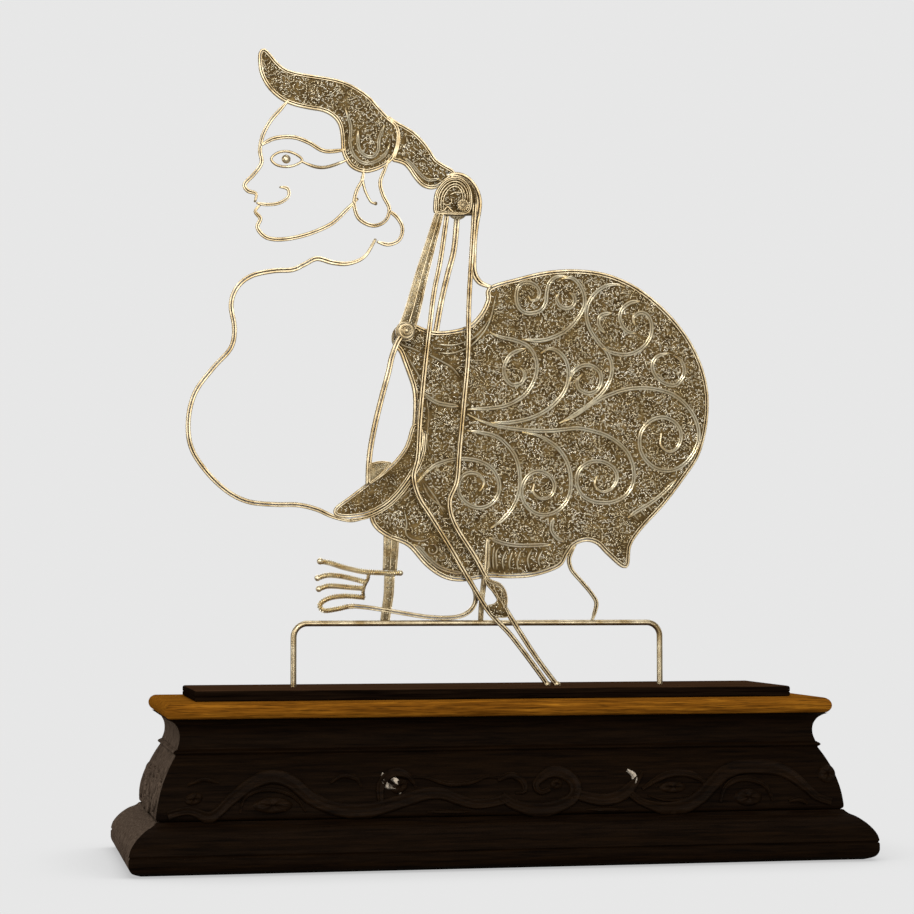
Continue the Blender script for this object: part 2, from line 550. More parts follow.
def silver_gilt(name, light, deep, rough=(0.22, 0.42), tinted=False):
    """Worn silver-gilt wire: bright where it is handled, browner in the patches that are not."""
    f = Finish(name)
    f.set(Metallic=1.0)
    patches = f.noise(140, 4, rough=0.6)
    colour = f.ramp(patches, (0.34, deep), (0.62, light))
    specks = f.noise(1500, 2)
    colour = f.mix(colour, (0.16, 0.11, 0.05), f.ramp(specks, (0.60, 0.0), (0.80, 0.55)))
    if tinted:
        colour = f.mix(colour, deep, f.ramp(f.attribute("tint"), (0.1, 0.65), (0.6, 0.0)))
    f.colour(colour)
    f.roughness(f.ramp(f.noise(420, 3), (0.3, rough[0]), (0.75, rough[1])))
    f.bump(f.noise(2200, 3), 0.00004, 0.5)
    return f.material


def oxidised_recess():
    """The dark, never polished ground between the curls."""
    f = Finish("oxidised_recess")
    f.set(Metallic=0.85)
    f.colour(f.ramp(f.noise(260, 4), (0.3, (0.075, 0.045, 0.014)), (0.6, (0.19, 0.125, 0.045)),
                    (0.8, (0.34, 0.24, 0.10))))
    f.roughness(f.ramp(f.noise(900, 2), (0.3, 0.45), (0.7, 0.7)))
    f.bump(f.noise(1800, 3), 0.00012, 0.8)
    return f.material


def dark_wood(name, grain, dark=(0.0026, 0.0013, 0.0006), light=(0.0135, 0.0064, 0.0025), rough=(0.42, 0.60),
              edge=(0.3, 0.72), gloss=0.02):
    """Nearly black stained wood. grain is how the pattern is stretched, so that it runs along the piece."""
    f = Finish(name)
    along = f.stretched(grain)
    lines = f.noise(55, 6, along, 0.3, 0.62)
    pores = f.noise(260, 3, along)
    colour = f.ramp(lines, (edge[0], dark), (edge[1], light))
    colour = f.mix(colour, (0.002, 0.0013, 0.0008), f.ramp(pores, (0.58, 0.0), (0.75, 0.8)))
    f.colour(colour)
    f.roughness(f.ramp(lines, (0.3, rough[1]), (0.7, rough[0])))
    f.set(Specular_IOR_Level=gloss)
    first = f.bump(pores, 0.0002, 0.35)
    f.bump(lines, 0.0004, 0.35, first)
    return f.material


def golden_wood(name, grain):
    """The orange-brown board: fine dark lines along the grain under a thin lacquer."""
    f = Finish(name)
    along = f.stretched(grain)
    lines = f.noise(60, 7, along, 0.5, 0.66)
    streaks = f.noise(190, 4, along)
    colour = f.ramp(lines, (0.28, (0.060, 0.019, 0.002)), (0.5, (0.24, 0.088, 0.008)),
                    (0.72, (0.50, 0.205, 0.018)))
    colour = f.mix(colour, (0.035, 0.014, 0.003), f.ramp(streaks, (0.52, 0.0), (0.68, 0.75)))
    f.colour(colour)
    f.roughness(f.ramp(lines, (0.3, 0.42), (0.7, 0.28)))
    f.set(Specular_IOR_Level=0.0)
    f.bump(streaks, 0.00018, 0.4)
    return f.material


def polished_wood():
    """The dark reddish plate under the stand."""
    f = Finish("polished_dark_wood")
    along = f.stretched((0.6, 16, 16))
    lines = f.noise(70, 6, along, 0.4, 0.6)
    top = f.ramp(lines, (0.3, (0.020, 0.009, 0.004)), (0.7, (0.075, 0.038, 0.019)))
    edge = f.ramp(lines, (0.3, (0.0025, 0.0014, 0.0009)), (0.7, (0.016, 0.009, 0.005)))
    facing = f.nodes.new("ShaderNodeTexCoord")
    split = f.nodes.new("ShaderNodeSeparateXYZ")
    f.join(facing.outputs["Normal"], split.inputs[0])
    f.colour(f.mix(edge, top, f.ramp(split.outputs["Z"], (0.75, 0.0), (0.95, 1.0))))
    f.roughness(f.ramp(lines, (0.3, 0.55), (0.7, 0.42)))
    f.set(Specular_IOR_Level=0.0)
    f.bump(lines, 0.0001, 0.3)
    return f.material


def felt():
    f = Finish("base_felt")
    fibres = f.noise(1500, 6, distortion=2.0)
    f.colour(f.ramp(fibres, (0.3, (0.008, 0.022, 0.012)), (0.7, (0.03, 0.06, 0.035))))
    f.set(Roughness=0.95, Sheen_Weight=0.4, Sheen_Roughness=0.5)
    f.bump(fibres, 0.0003, 0.8)
    return f.material


def steel():
    f = Finish("screw_steel")
    f.set(Metallic=1.0)
    brushed = f.noise(900, 3, f.stretched((1, 8, 1)))
    f.colour(f.ramp(brushed, (0.3, (0.42, 0.42, 0.42)), (0.7, (0.62, 0.61, 0.6))))
    f.roughness(f.ramp(brushed, (0.3, 0.25), (0.7, 0.42)))
    return f.material


WIRE_LIGHT = (0.70, 0.60, 0.41)
WIRE_DEEP = (0.38, 0.275, 0.135)
wire_finish = silver_gilt("gilt_wire", WIRE_LIGHT, WIRE_DEEP)
stem_finish = silver_gilt("gilt_stems", (0.97, 0.88, 0.66), (0.76, 0.62, 0.38), (0.22, 0.38))
pale_finish = silver_gilt("gilt_pale_ground", (0.40, 0.33, 0.20), (0.16, 0.11, 0.05), (0.34, 0.52))
curl_finish = silver_gilt("gilt_filigree", (1.0, 0.94, 0.78), (0.58, 0.46, 0.25), (0.20, 0.36), tinted=True)
recess_finish = oxidised_recess()
long_wood = dark_wood("carved_dark_wood", (0.8, 15, 15))
vine_wood = dark_wood("carved_vine_wood", (0.8, 12, 12), (0.0035, 0.0018, 0.0009), (0.018, 0.0088, 0.0036),
                      (0.34, 0.5), gloss=0.03)
end_wood = dark_wood("carved_dark_wood_ends", (22, 22, 1.2), (0.030, 0.020, 0.014), (0.19, 0.14, 0.105),
                     (0.50, 0.65), (0.34, 0.72), 0.0)
worn_wood = dark_wood("carved_wood_worn", (9, 9, 4), (0.020, 0.014, 0.010), (0.62, 0.54, 0.44), (0.30, 0.45),
                      (0.40, 0.58))
board_finish = golden_wood("golden_wood", (0.7, 17, 17))
plate_finish = polished_wood()
felt_finish = felt()
steel_finish = steel()


def plain_wood():
    f = Finish("plain_wood")
    along = f.stretched((1, 10, 10))
    rings = f.noise(40, 6, along, 0.6)
    f.colour(f.ramp(rings, (0.3, (0.16, 0.09, 0.04)), (0.7, (0.34, 0.21, 0.10))))
    f.set(Roughness=0.75)
    f.bump(rings, 0.0003, 0.5)
    return f.material


def finish_cad(finish, *nodes):
    for name in nodes:
        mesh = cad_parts[name].data
        mesh.materials.clear()
        mesh.materials.append(finish)


finish_cad(plain_wood(), "core_block", "base_board")
finish_cad(steel_finish, "base_screws")
finish_cad(recess_finish, "robe_sheet", "crest_sheet", "nape_sheet", "flap_sheet")


# ---- packed curls -------------------------------------------------------------------------

def curl_tree():
    """Scatters small curls of wire over a flat face, clear of the wires laid on it."""
    tree = bpy.data.node_groups.new("packed_curls", "GeometryNodeTree")
    face = tree.interface
    face.new_socket("Geometry", in_out="INPUT", socket_type="NodeSocketGeometry")
    for name in ("Spacing", "Curl radius", "Wire ratio", "Clearance"):
        face.new_socket(name, in_out="INPUT", socket_type="NodeSocketFloat")
    face.new_socket("Seed", in_out="INPUT", socket_type="NodeSocketInt")
    face.new_socket("Laid wires", in_out="INPUT", socket_type="NodeSocketObject")
    face.new_socket("Finish", in_out="INPUT", socket_type="NodeSocketMaterial")
    face.new_socket("Geometry", in_out="OUTPUT", socket_type="NodeSocketGeometry")
    nodes, links = tree.nodes, tree.links
    given = nodes.new("NodeGroupInput").outputs
    result = nodes.new("NodeGroupOutput").inputs

    scatter = nodes.new("GeometryNodeDistributePointsOnFaces")
    scatter.distribute_method = "POISSON"
    links.new(given["Geometry"], scatter.inputs["Mesh"])
    links.new(given["Spacing"], scatter.inputs["Distance Min"])
    scatter.inputs["Density Max"].default_value = 4.0e6
    links.new(given["Seed"], scatter.inputs["Seed"])

    laid = nodes.new("GeometryNodeObjectInfo")
    links.new(given["Laid wires"], laid.inputs["Object"])
    near = nodes.new("GeometryNodeProximity")
    near.target_element = "EDGES"
    links.new(laid.outputs["Geometry"], near.inputs[0])
    too_near = nodes.new("FunctionNodeCompare")
    too_near.data_type = "FLOAT"
    too_near.operation = "LESS_THAN"
    links.new(near.outputs["Distance"], too_near.inputs[0])
    links.new(given["Clearance"], too_near.inputs[1])
    thin = nodes.new("GeometryNodeDeleteGeometry")
    thin.domain = "POINT"
    links.new(scatter.outputs["Points"], thin.inputs["Geometry"])
    links.new(too_near.outputs["Result"], thin.inputs["Selection"])

    section = nodes.new("GeometryNodeCurvePrimitiveCircle")
    section.inputs["Resolution"].default_value = 4
    links.new(given["Wire ratio"], section.inputs["Radius"])
    shapes = nodes.new("GeometryNodeJoinGeometry")
    for resolution, radius, sweep in ((5, 1.0, 230), (4, 1.35, 130), (6, 0.85, 310), (3, 1.8, 70)):
        arc = nodes.new("GeometryNodeCurveArc")
        arc.inputs["Resolution"].default_value = resolution
        arc.inputs["Radius"].default_value = radius
        arc.inputs["Sweep Angle"].default_value = math.radians(sweep)
        links.new(as_instance(nodes, links, arc.outputs["Curve"], section), shapes.inputs[0])
    wave = nodes.new("GeometryNodeCurvePrimitiveBezierSegment")
    for name, value in (("Resolution", 6), ("Start", (-1.3, 0, 0)), ("Start Handle", (-0.4, 2.2, 0)),
                        ("End Handle", (0.4, -2.2, 0)), ("End", (1.3, 0, 0))):
        wave.inputs[name].default_value = value
    links.new(as_instance(nodes, links, wave.outputs["Curve"], section), shapes.inputs[0])

    choice = random_value(nodes, links, given["Seed"], "INT", 0, 4)
    turn = random_value(nodes, links, given["Seed"], "FLOAT", 0, 2 * math.pi, 1)
    size = random_value(nodes, links, given["Seed"], "FLOAT", 0.8, 1.3, 2)
    tint = random_value(nodes, links, given["Seed"], "FLOAT", 0.0, 1.0, 3)
    about = nodes.new("FunctionNodeAxisAngleToRotation")
    about.inputs["Axis"].default_value = (0, 0, 1)
    links.new(turn, about.inputs["Angle"])
    turned = nodes.new("FunctionNodeRotateRotation")
    turned.rotation_space = "LOCAL"
    links.new(scatter.outputs["Rotation"], turned.inputs["Rotation"])
    links.new(about.outputs["Rotation"], turned.inputs["Rotate By"])
    scale = nodes.new("ShaderNodeMath")
    scale.operation = "MULTIPLY"
    links.new(size, scale.inputs[0])
    links.new(given["Curl radius"], scale.inputs[1])

    pack = nodes.new("GeometryNodeInstanceOnPoints")
    pack.inputs["Pick Instance"].default_value = True
    links.new(thin.outputs["Geometry"], pack.inputs["Points"])
    links.new(shapes.outputs["Geometry"], pack.inputs["Instance"])
    links.new(choice, pack.inputs["Instance Index"])
    links.new(turned.outputs["Rotation"], pack.inputs["Rotation"])
    links.new(scale.outputs[0], pack.inputs["Scale"])
    keep = nodes.new("GeometryNodeStoreNamedAttribute")
    keep.data_type = "FLOAT"
    keep.domain = "INSTANCE"
    keep.inputs["Name"].default_value = "tint"
    links.new(pack.outputs["Instances"], keep.inputs["Geometry"])
    links.new(tint, keep.inputs["Value"])
    real = nodes.new("GeometryNodeRealizeInstances")
    links.new(keep.outputs["Geometry"], real.inputs["Geometry"])
    coat = nodes.new("GeometryNodeSetMaterial")
    links.new(real.outputs["Geometry"], coat.inputs["Geometry"])
    links.new(given["Finish"], coat.inputs["Material"])
    links.new(coat.outputs["Geometry"], result["Geometry"])
    return tree


def as_instance(nodes, links, line, section):
    """A thin wire along the line, as one instance to choose from."""
    wire = nodes.new("GeometryNodeCurveToMesh")
    links.new(line, wire.inputs["Curve"])
    links.new(section.outputs["Curve"], wire.inputs["Profile Curve"])
    wire.inputs["Fill Caps"].default_value = True
    one = nodes.new("GeometryNodeGeometryToInstance")
    links.new(wire.outputs["Mesh"], one.inputs[0])
    return one.outputs[0]


def random_value(nodes, links, seed, kind, low, high, salt=0):
    node = nodes.new("FunctionNodeRandomValue")
    node.data_type = kind
    live = [s for s in node.inputs if s.enabled]
    named = {s.name: s for s in live}
    named["Min"].default_value = low
    named["Max"].default_value = high
    if salt:
        add = nodes.new("ShaderNodeMath")
        add.inputs[1].default_value = 17.0 * salt
        links.new(seed, add.inputs[0])
        seed = add.outputs[0]
    links.new(seed, named["Seed"])
    return [s for s in node.outputs if s.enabled][0]


CURLS = curl_tree()


def line_object(name, lines):
    """Loose edges along the centre lines of the wires that the curls stay clear of."""
    verts, edges = [], []
    for path, y, closed in lines:
        first = len(verts)
        verts += [Vector((p[0], y, p[1])) * MM for p in path]
        edges += [(first + i, first + i + 1) for i in range(len(path) - 1)]
        if closed:
            edges.append((len(verts) - 1, first))
    mesh = bpy.data.meshes.new(name)
    mesh.from_pydata(verts, edges, [])
    obj = bpy.data.objects.new(name, mesh)
    bpy.context.scene.collection.objects.link(obj)
    return obj


def curls(name, outline, y, body, seed, laid=(), spacing=0.70, radius=0.40, ratio=0.50, clearance=0.85,
          band=None, replaced=()):
    """Packs curls over the outline at depth y, in front or behind. band = (z0, z1) takes a part of it."""
    ground = bpy.data.meshes.new(name)
    ring = outline if band is None else clip(outline, *band)
    ring = [Vector((p[0], y, p[1])) * MM for p in ring]
    area = sum(a.x * b.z - b.x * a.z for a, b in zip(ring, ring[1:] + ring[:1]))
    faces_front = y < 0
    order = range(len(ring)) if (area > 0) == faces_front else reversed(range(len(ring)))
    ground.from_pydata(ring, [], [tuple(order)])
    obj = bpy.data.objects.new(name, ground)
    bpy.context.scene.collection.objects.link(obj)
    guide = line_object(name + "_lines", [(outline, y, True)] + [(path, y, False) for path in laid])
    change = obj.modifiers.new("curls", "NODES")
    change.node_group = CURLS
    values = {"Spacing": spacing * MM, "Curl radius": radius * MM, "Wire ratio": ratio,
              "Clearance": clearance * MM, "Seed": seed, "Laid wires": guide, "Finish": curl_finish}
    for socket in CURLS.interface.items_tree:
        if socket.name in values and socket.in_out == "INPUT":
            change[socket.identifier] = values[socket.name]
    bpy.context.view_layer.update()
    made = obj.evaluated_get(bpy.context.evaluated_depsgraph_get())
    mesh = bpy.data.meshes.new_from_object(made)
    mesh.name = name
    for old in (obj, guide):
        bpy.data.objects.remove(old)
    return place(name, mesh, None, body, replaced, 180)


def clip(outline, low, high):
    """The part of the outline between two heights."""
    for edge, above in ((low, True), (high, False)):
        kept = []
        for a, b in zip(outline, outline[1:] + outline[:1]):
            a_in = (a[1] >= edge) == above
            b_in = (b[1] >= edge) == above
            if a_in:
                kept.append(a)
            if a_in != b_in:
                t = (edge - a[1]) / (b[1] - a[1])
                kept.append((a[0] + (b[0] - a[0]) * t, edge))
        outline = kept
    return outline


# ---- plinth -------------------------------------------------------------------------------

foot_profile = [(4.5, 0), (1.2, 1.4), (0, 3.8), (0, 6.6), (0.8, 9.6), (3, 12.6), (6, 15.1), (8.6, 16.4),
    (10, FOOT_TOP)]
frieze_profile = [(11.2, FOOT_TOP), (10, 18.6), (10.2, 21.5), (10.8, 25), (11.9, 29), (13.4, 33),
    (15.3, 36.8), (17.2, FRIEZE_TOP)]
cove_profile = [(17.2, FRIEZE_TOP), (16.3, 41), (17.2, 42), (17.8, 42.3), (18.6, 45), (18.5, 48),
    (17.4, 50.4), (15.8, 51.8), (14.2, COVE_TOP)]
SIDES = {"front": (0, HALF_W, HALF_D), "right": (90, HALF_D, HALF_W), "back": (180, HALF_W, HALF_D),
         "left": (270, HALF_D, HALF_W)}


def moulding(name, profile, side, finish, groove=()):
    """One mitred side of a ring of moulding, planed by hand: its face is very slightly uneven."""
    turn, half, out = SIDES[side]
    line = curve(profile, 5)
    line = [(inset + sum(depth * max(0, 1 - abs(z - at) / 0.35) for at, depth in groove), z)
            for inset, z in line]
    section = line + [(CORE_INSET, profile[-1][1]), (CORE_INSET, profile[0][1])]
    steps = max(8, round(half / 2))
    turned = Matrix.Rotation(math.radians(turn), 3, "Z")
    seed = Vector((turn * 3.1, 0, 0))
    rings = []
    for i in range(steps + 1):
        t = -1 + 2 * i / steps
        ring = []
        for k, (inset, z) in enumerate(section):
            x = t * (half - max(0.0, inset))
            wobble = 0.0
            if 0 < k < len(line) - 1:
                wobble = 0.10 * abs(noise.noise(Vector((x * 0.05, z * 0.28, 0)) + seed))
            ring.append(tuple(turned @ Vector((x, -out + max(0.0, inset + wobble), max(0.0, z)))))
        rings.append(ring)
    work = Work()
    n = len(section)
    for ring in rings:
        work.verts.extend(ring)
    for i in range(steps):
        for k in range(n):
            m = (k + 1) % n
            a, b = i * n, (i + 1) * n
            work.faces.append((a + k, a + m, b + m, b + k))
    work.faces.append(tuple(range(n)))
    work.faces.append(tuple(steps * n + k for k in reversed(range(n))))
    return piece(name + "_" + side, work, finish, FIGURE, [name + "_" + side], 38)


def bead_and_foot():
    for side in SIDES:
        finish = long_wood if side in ("front", "back") else end_wood
        moulding("foot", foot_profile, side, finish, [(6.6, 0.45)])
        moulding("frieze", frieze_profile, side, finish)
        moulding("cove", cove_profile, side, finish, [(41.9, 0.35), (40.3, 0.2)])


def inset_at(z):
    """How far the frieze's face lies in from the foot's edge at a height."""
    line = curve(frieze_profile, 6)
    for (i0, z0), (i1, z1) in zip(line, line[1:]):
        if z0 <= z <= z1:
            return i0 + (i1 - i0) * (z - z0) / (z1 - z0)
    return line[0][0] if z < line[0][1] else line[-1][0]


def on_frieze(side, x, z, height):
    """A point on the frieze's face, raised by a height along its normal."""
    z = min(FRIEZE_TOP - 0.4, max(FOOT_TOP + 0.6, z))
    turn, half, out = SIDES[side]
    slope = (inset_at(z + 0.5) - inset_at(z - 0.5))
    size = math.hypot(1, slope)
    y = -out + inset_at(z) - height / size
    z = z + height * slope / size
    return Matrix.Rotation(math.radians(turn), 3, "Z") @ Vector((x, y, z))


def carve(work, side, path, width, height, hollow=0.25, mirror=1):
    """A carved ribbon along a path on the frieze: two rounded edges with a shallow hollow between."""
    section = [(-0.5, -0.6), (-0.5, 0.0), (-0.47, 0.6), (-0.40, 0.95), (-0.30, 1.0), (-0.15,
            1 - 0.7 * hollow),
               (0.0, 1 - hollow), (0.15, 1 - 0.7 * hollow), (0.30, 1.0), (0.40, 0.95), (0.47, 0.6),
               (0.5, 0.0), (0.5, -0.6)]
    path = even(path, 0.9)
    n = len(path)
    rings = []
    for i, (p, left) in enumerate(zip(path, lefts(path))):
        t = i / (n - 1)
        w = width(t) if callable(width) else width
        h = height * min(1.0, w / 2.0)
        ring = []
        for u, v in section:
            x = p[0] + u * w * left[0]
            z = p[1] + u * w * left[1]
            rough = 0.10 * noise.noise(Vector((x * 0.45, z * 0.45, 3)))
            ring.append(tuple(on_frieze(side, mirror * x, z, (v * h + rough) if v > 0 else -0.5)))
        rings.append(ring)
    work.rings(rings)


def boss(work, side, centre, size, height, tilt=0.0, mirror=1):
    """A carved leaf or eye: an oval mound with a raised rim and veins."""
    rows, sides = 7, 24
    rings = []
    turn = math.radians(tilt)
    for i in range(rows + 1):
        r = 1 - i / (rows + 0.4)
        lift = height * (0.0 if i == 0 else 0.8 * math.sin(math.pi * min(1, i / 2.5) / 2) + 0.25 * i / rows)
        ring = []
        for k in range(sides):
            a = 2 * math.pi * k / sides
            u, v = size[0] * r * math.cos(a), size[1] * r * math.sin(a)
            vein = 0.22 * math.cos(5 * a) * (i > 1)
            x = centre[0] + u * math.cos(turn) - v * math.sin(turn)
            z = centre[1] + u * math.sin(turn) + v * math.cos(turn)
            ring.append(tuple(on_frieze(side, mirror * x, z, lift + vein * height if i else -0.5)))
        rings.append(ring)
    work.rings(rings)


def taper(full, start=0.0, end=0.0, share=0.35):
    """A ribbon's width: full in the middle, easing to a share of it at the start and the end."""
    return lambda t: full * (1 - start * (1 - smooth(t / share))) * (1 - end * (1 - smooth((1 - t) / share)))


vine = [
    ([(-121, 20), (-114, 21.5), (-106, 19.5), (-99, 25), (-92, 30), (-85, 32.4), (-78, 30.6), (-71, 25),
      (-64, 21.8), (-57, 20.6), (-49.5, 20.8), (-42.5, 22.4), (-35.5, 24.4), (-29.5, 25.8), (-24, 25.6),
      (-18, 23.4), (-12.5, 22), (-6.5, 22.4), (-1, 23.6)], taper(5.0, 0.4, 0.3)),
    ([(-46, 22), (-46.6, 25), (-46.2, 29), (-43.6, 32), (-40, 33.2), (-36, 31.6), (-33.6, 28)],
     taper(3.2, 0.3, 0.7)),
    ([(-36.8, 31.2), (-30, 31.4), (-22, 29), (-14, 29.4), (-7.5, 31.4), (-2, 30.2)], taper(1.8, 0.5, 0.5)),
    ([(-3, 24.5), (1.5, 21.6), (8, 20), (16, 20.4), (22.4, 23), (24.5, 27), (22, 31), (17, 32.6),
      (12.5, 31), (9.6, 28), (11.4, 25.6), (14.6, 26.6)], taper(4.6, 0.2, 0.6)),
    ([(-4, 30), (1, 31.6), (5, 29.4), (5.4, 26), (2.2, 25.6)], taper(2.4, 0.4, 0.6)),
    ([(23.5, 25), (29, 23.4), (35.5, 22.6), (41.5, 24.4), (46, 28), (49.4, 32)], taper(4.6, 0.2, 0.6)),
    ([(44.5, 24.5), (49, 21.4), (56.5, 19.6), (64, 20), (70, 22.6), (75, 27), (80, 31), (86, 33),
      (93.5, 33.2), (100.5, 32.4), (105.5, 30), (110.5, 26), (114.5, 22.4), (120, 20.4)],
     taper(5.4, 0.5, 0.5)),
    ([(49, 26), (54, 29), (60, 31.2), (67, 31), (72, 28.4), (74, 25)], taper(2.6, 0.5, 0.5)),
    ([(51, 24), (55.5, 22.6), (60.5, 22.3), (65.5, 23), (69, 25)], taper(1.4, 0.5, 0.5)),
    ([(78, 21), (79.6, 25.6), (84, 28.6), (90, 28.8), (95.4, 26.4), (98, 21)], taper(2.2, 0.5, 0.5)),
    ([(-96, 20.4), (-94.6, 25), (-90, 27.8), (-83, 28), (-76.6, 25.2), (-73, 20.4)], taper(1.8, 0.5, 0.5)),
    ([(104, 21), (108, 21.6), (111, 19.8)], taper(2.2, 0.5, 0.5)),
    ([(-30, 19.6), (-22, 19.8), (-14, 19.4)], taper(1.6, 0.6, 0.6)),
    ([(28, 19.4), (36, 19.6), (42, 19.2)], taper(1.5, 0.6, 0.6)),
    ([(-64, 30), (-60, 32.4), (-55, 31.4), (-53, 28.4)], taper(2.0, 0.5, 0.6)),
    ([(-114, 30), (-108.6, 32), (-103, 30.6)], taper(1.8, 0.5, 0.6))]
bosses = [((-84.5, 22.8), (7.4, 3.0), 0.9, 0), ((88.6, 22.6), (5.6, 3.4), 0.9, 0),
          ((60.4, 26.6), (5.4, 2.2), 0.8, 0), ((119.4, 30.4), (3.6, 3.6), 1.0, 20),
          ((17.4, 28.4), (2.4, 1.8), 0.8, 0), ((-39.4, 28.6), (3.6, 2.4), 0.9, 30),
          ((-112, 25.4), (3.4, 2.2), 0.8, 15)]

# Leaf tips that stand proud and are rubbed pale
worn_tips = [[(-45, 33), (-45.6, 30.6), (-43.6, 28.6), (-41, 28), (-39.2, 26)],
             [(-42.6, 31.4), (-40.6, 30.2), (-39, 28)], [(44, 32.8), (46.2, 31), (46.2, 28.4), (44.6, 26.4)]]


def frieze_carving():
    """The wandering vine in low relief, one piece to each side of the frieze."""
    for side, finish in (("front", vine_wood), ("back", vine_wood)):
        work = Work()
        for path, width in vine:
            carve(work, side, curve(path), width, 1.5, 0.35)
        for centre, size, height, tilt in bosses:
            boss(work, side, centre, size, 1.5 * height, tilt)
        piece("frieze_vine_" + side, work, finish, FIGURE, sharp=60)
        work = Work()
        for path in worn_tips:
            carve(work, side, curve(path), taper(1.9, 0.5, 0.6, 0.5), 1.5)
        piece("frieze_worn_tips_" + side, work, worn_wood, FIGURE, sharp=60)
    for side in ("left", "right"):
        work = Work()
        for mirror in (-1, 1):
            carve(work, side, curve([(1.5, 20.6), (8, 19.8), (15, 22.2), (20, 27), (25.6, 31),
                                     (31.4, 29.6), (33.4, 25), (30, 21.6), (26, 23), (26.6, 26.4)]),
                  taper(4.4, 0.4, 0.6), 0.95, mirror=mirror)
            carve(work, side, curve([(2, 30.5), (8, 32.4), (13.6, 30.4), (15, 27)]), taper(2.4, 0.5, 0.6),
                  0.8, mirror=mirror)
        boss(work, side, (0, 26), (4.2, 3.2), 0.95)
        piece("frieze_vine_" + side, work, end_wood, FIGURE, sharp=60)


def slab_rings(name, half, profile, finish, node, step=6.0):
    """A board whose edge has a profile of (inset, height) all round, with mitred corners."""
    work = Work()
    def ring(inset, z):
        w, d = half[0] - inset, half[1] - inset
        corners = [(-w, -d), (w, -d), (w, d), (-w, d)]
        points = []
        for (x0, y0), (x1, y1) in zip(corners, corners[1:] + corners[:1]):
            count = max(2, round(math.dist((x0, y0), (x1, y1)) / step))
            count = round(2 * (half[0] if y0 == y1 else half[1]) / step)
            points += [(x0 + (x1 - x0) * k / count, y0 + (y1 - y0) * k / count, z) for k in range(count)]
        return points
    rings = [ring(inset, z) for inset, z in profile]
    n = len(rings[0])
    for r in rings:
        work.verts.extend(r)
    for i in range(len(rings) - 1):
        for k in range(n):
            m = (k + 1) % n
            work.faces.append((i * n + k, i * n + m, (i + 1) * n + m, (i + 1) * n + k))
    work.faces.append(tuple(reversed(range(n))))
    work.faces.append(tuple((len(rings) - 1) * n + k for k in range(n)))
    return piece(name, work, finish, FIGURE, [node], 40)


def boards():
    r = (BOARD_TOP - COVE_TOP) / 2
    bull = [(r - r * math.cos(math.radians(a)) , COVE_TOP + r + r * math.sin(math.radians(a)))
            for a in range(-90, 91, 12)]
    slab_rings("top_board", (HALF_W - BOARD_INSET, HALF_D - BOARD_INSET), bull, board_finish,
               "top_board")
    plate = [(0.5, BOARD_TOP), (0.0, BOARD_TOP + 0.4), (0.0, BOARD_TOP + 1.5), (0.25, BOARD_TOP + 1.75),
             (0.0, BOARD_TOP + 2.0), (0.0, PLATE_TOP - 0.7), (0.25, PLATE_TOP - 0.2), (0.8, PLATE_TOP)]
    slab_rings("top_plate", PLATE_HALF, plate, plate_finish, "top_plate")
    felt_edge = [(0.3, 0.0), (0.0, 0.25), (0.0, 0.75), (0.25, 1.0)]
    slab_rings("base_felt", (HALF_W - CORE_INSET, HALF_D - CORE_INSET), felt_edge, felt_finish,
               "base_felt")


# ---- stand, rods and outline wires --------------------------------------------------------

def stand():
    bar_z, left, right, bend, low = 85.3, -72.0, 67.5, 5.0, 46.2
    path = [(left, low), (left, 60), (left, 70), (left, bar_z - bend - 0.5)]
    path += [(left + bend - bend * math.cos(a), bar_z - bend + bend * math.sin(a))
             for a in [math.radians(d) for d in range(0, 91, 10)]]
    path += [(left + bend + (right - left - 2 * bend) * k / 40, bar_z) for k in range(1, 40)]
    path += [(right - bend + bend * math.sin(a), bar_z - bend + bend * math.cos(a))
             for a in [math.radians(d) for d in range(0, 91, 10)]]
    path += [(right, bar_z - bend - 0.5), (right, 70), (right, 60), (right, low)]
    work = Work()
    work.tube(even(path, 1.0), 2.2, 2.2, sides=16)
    piece("stand_wire", work, wire_finish, FIGURE, ["stand_wire"])


